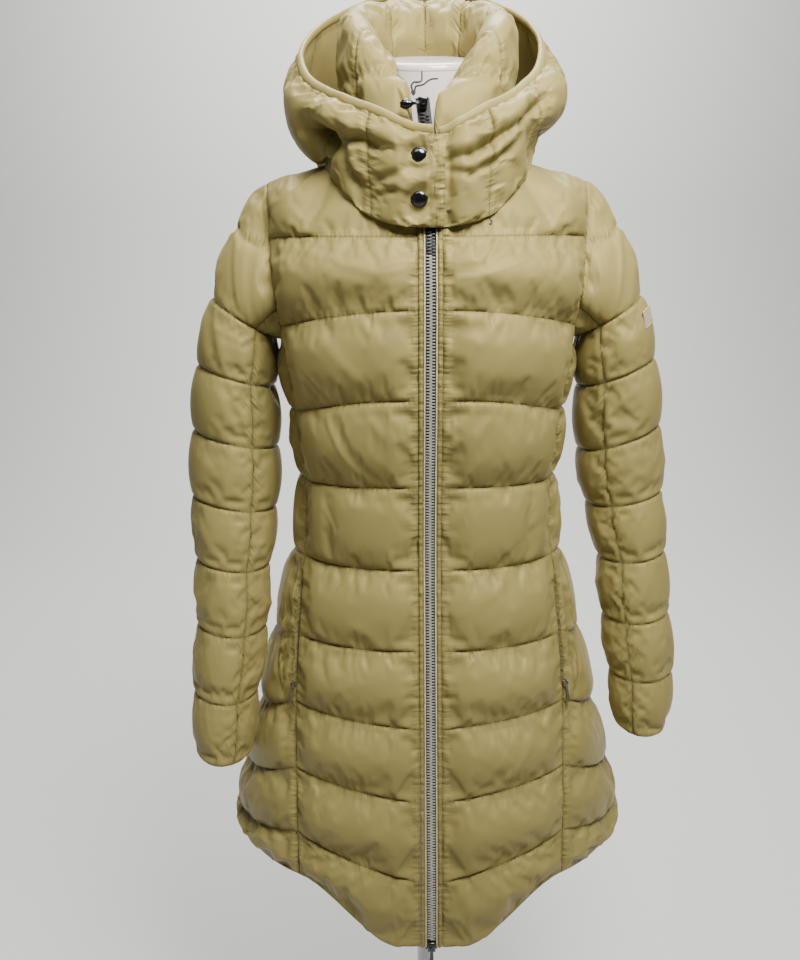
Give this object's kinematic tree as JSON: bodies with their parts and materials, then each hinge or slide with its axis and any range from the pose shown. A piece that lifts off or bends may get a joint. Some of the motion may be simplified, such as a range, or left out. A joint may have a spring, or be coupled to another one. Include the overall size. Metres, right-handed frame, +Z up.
{
  "type": "long puffer coat on a limbless dress form",
  "caption": "Long quilted puffer coat with a folded-down hood held by snaps, zipped up on a limbless dress form with pole and round base.",
  "frame": {"origin": "centre of the round base's underside, under the dress form's pole", "axes": "+Z up along the pole; the coat's zip faces -Y; left in a name means the viewer's left, at -X"},
  "size_m": [0.6163, 0.4189, 1.5993],
  "materials": {
    "nylon": "satin quilted nylon, olive gold",
    "patch": "matte woven patch, bare",
    "zip_tape": "matte woven tape",
    "zip_teeth": "moulded, satin grey",
    "black_metal": "gloss black",
    "grey_metal": "satin grey",
    "black_gloss": "gloss black dome",
    "cord": "matte braided cord",
    "form_white": "gloss white",
    "pole_steel": "brushed",
    "base_grey": "satin grey paint"
  },
  "bodies": {
    "coat": {"front_left": "nylon", "front_right": "nylon", "side_left": "nylon", "side_right": "nylon", "back": "nylon", "sleeve_top_left": "nylon", "sleeve_under_left": "nylon", "sleeve_top_right": "nylon", "sleeve_under_right": "nylon", "hood_left": "nylon", "hood_right": "nylon", "brim_binding_left": "nylon", "brim_binding_right": "nylon", "collar": "nylon", "zip_guard_left": "nylon", "zip_guard_right": "nylon", "sleeve_patch": "patch", "zip_tape": "zip_tape", "zip_teeth": "zip_teeth", "slider_top": "black_metal", "slider_bottom": "black_metal", "pocket_zip_left": "zip_tape", "pocket_zip_right": "zip_tape", "pocket_slider_left": "grey_metal", "pocket_slider_right": "grey_metal", "snap_cap_upper": "black_gloss", "snap_cap_lower": "black_gloss", "hood_loop": "cord", "pull_cord_end_1": "cord", "pull_cord_end_2": "cord", "pull_cord_knot": "cord", "form_torso": "form_white", "form_neck_cap": "form_white", "form_pole": "pole_steel", "form_base": "base_grey"},
    "top_pull": {"pull_top": "black_metal"},
    "bottom_pull": {"pull_bottom": "black_metal"},
    "left_pocket_pull": {"pocket_pull_left": "grey_metal"},
    "right_pocket_pull": {"pocket_pull_right": "grey_metal"}
  },
  "joints": [
    {"name": "top_pull_hinge", "type": "hinge", "parent": "coat", "child": "top_pull", "pos_m": [-0.00735, -0.1068, 1.41444], "axis": [-0.1045, 0.0583, 0.9928], "range_deg": [0, 90]},
    {"name": "bottom_pull_hinge", "type": "hinge", "parent": "coat", "child": "bottom_pull", "pos_m": [0, -0.1985, 0.45698], "axis": [-1, 0, 0], "range_deg": [0, 120]},
    {"name": "left_pocket_pull_hinge", "type": "hinge", "parent": "coat", "child": "left_pocket_pull", "pos_m": [-0.16849, -0.10892, 0.75945], "axis": [-0.7493, 0.6623, 0], "range_deg": [0, 110]},
    {"name": "right_pocket_pull_hinge", "type": "hinge", "parent": "coat", "child": "right_pocket_pull", "pos_m": [0.16849, -0.10892, 0.75945], "axis": [-0.7493, -0.6623, 0], "range_deg": [0, 110]}
  ]
}
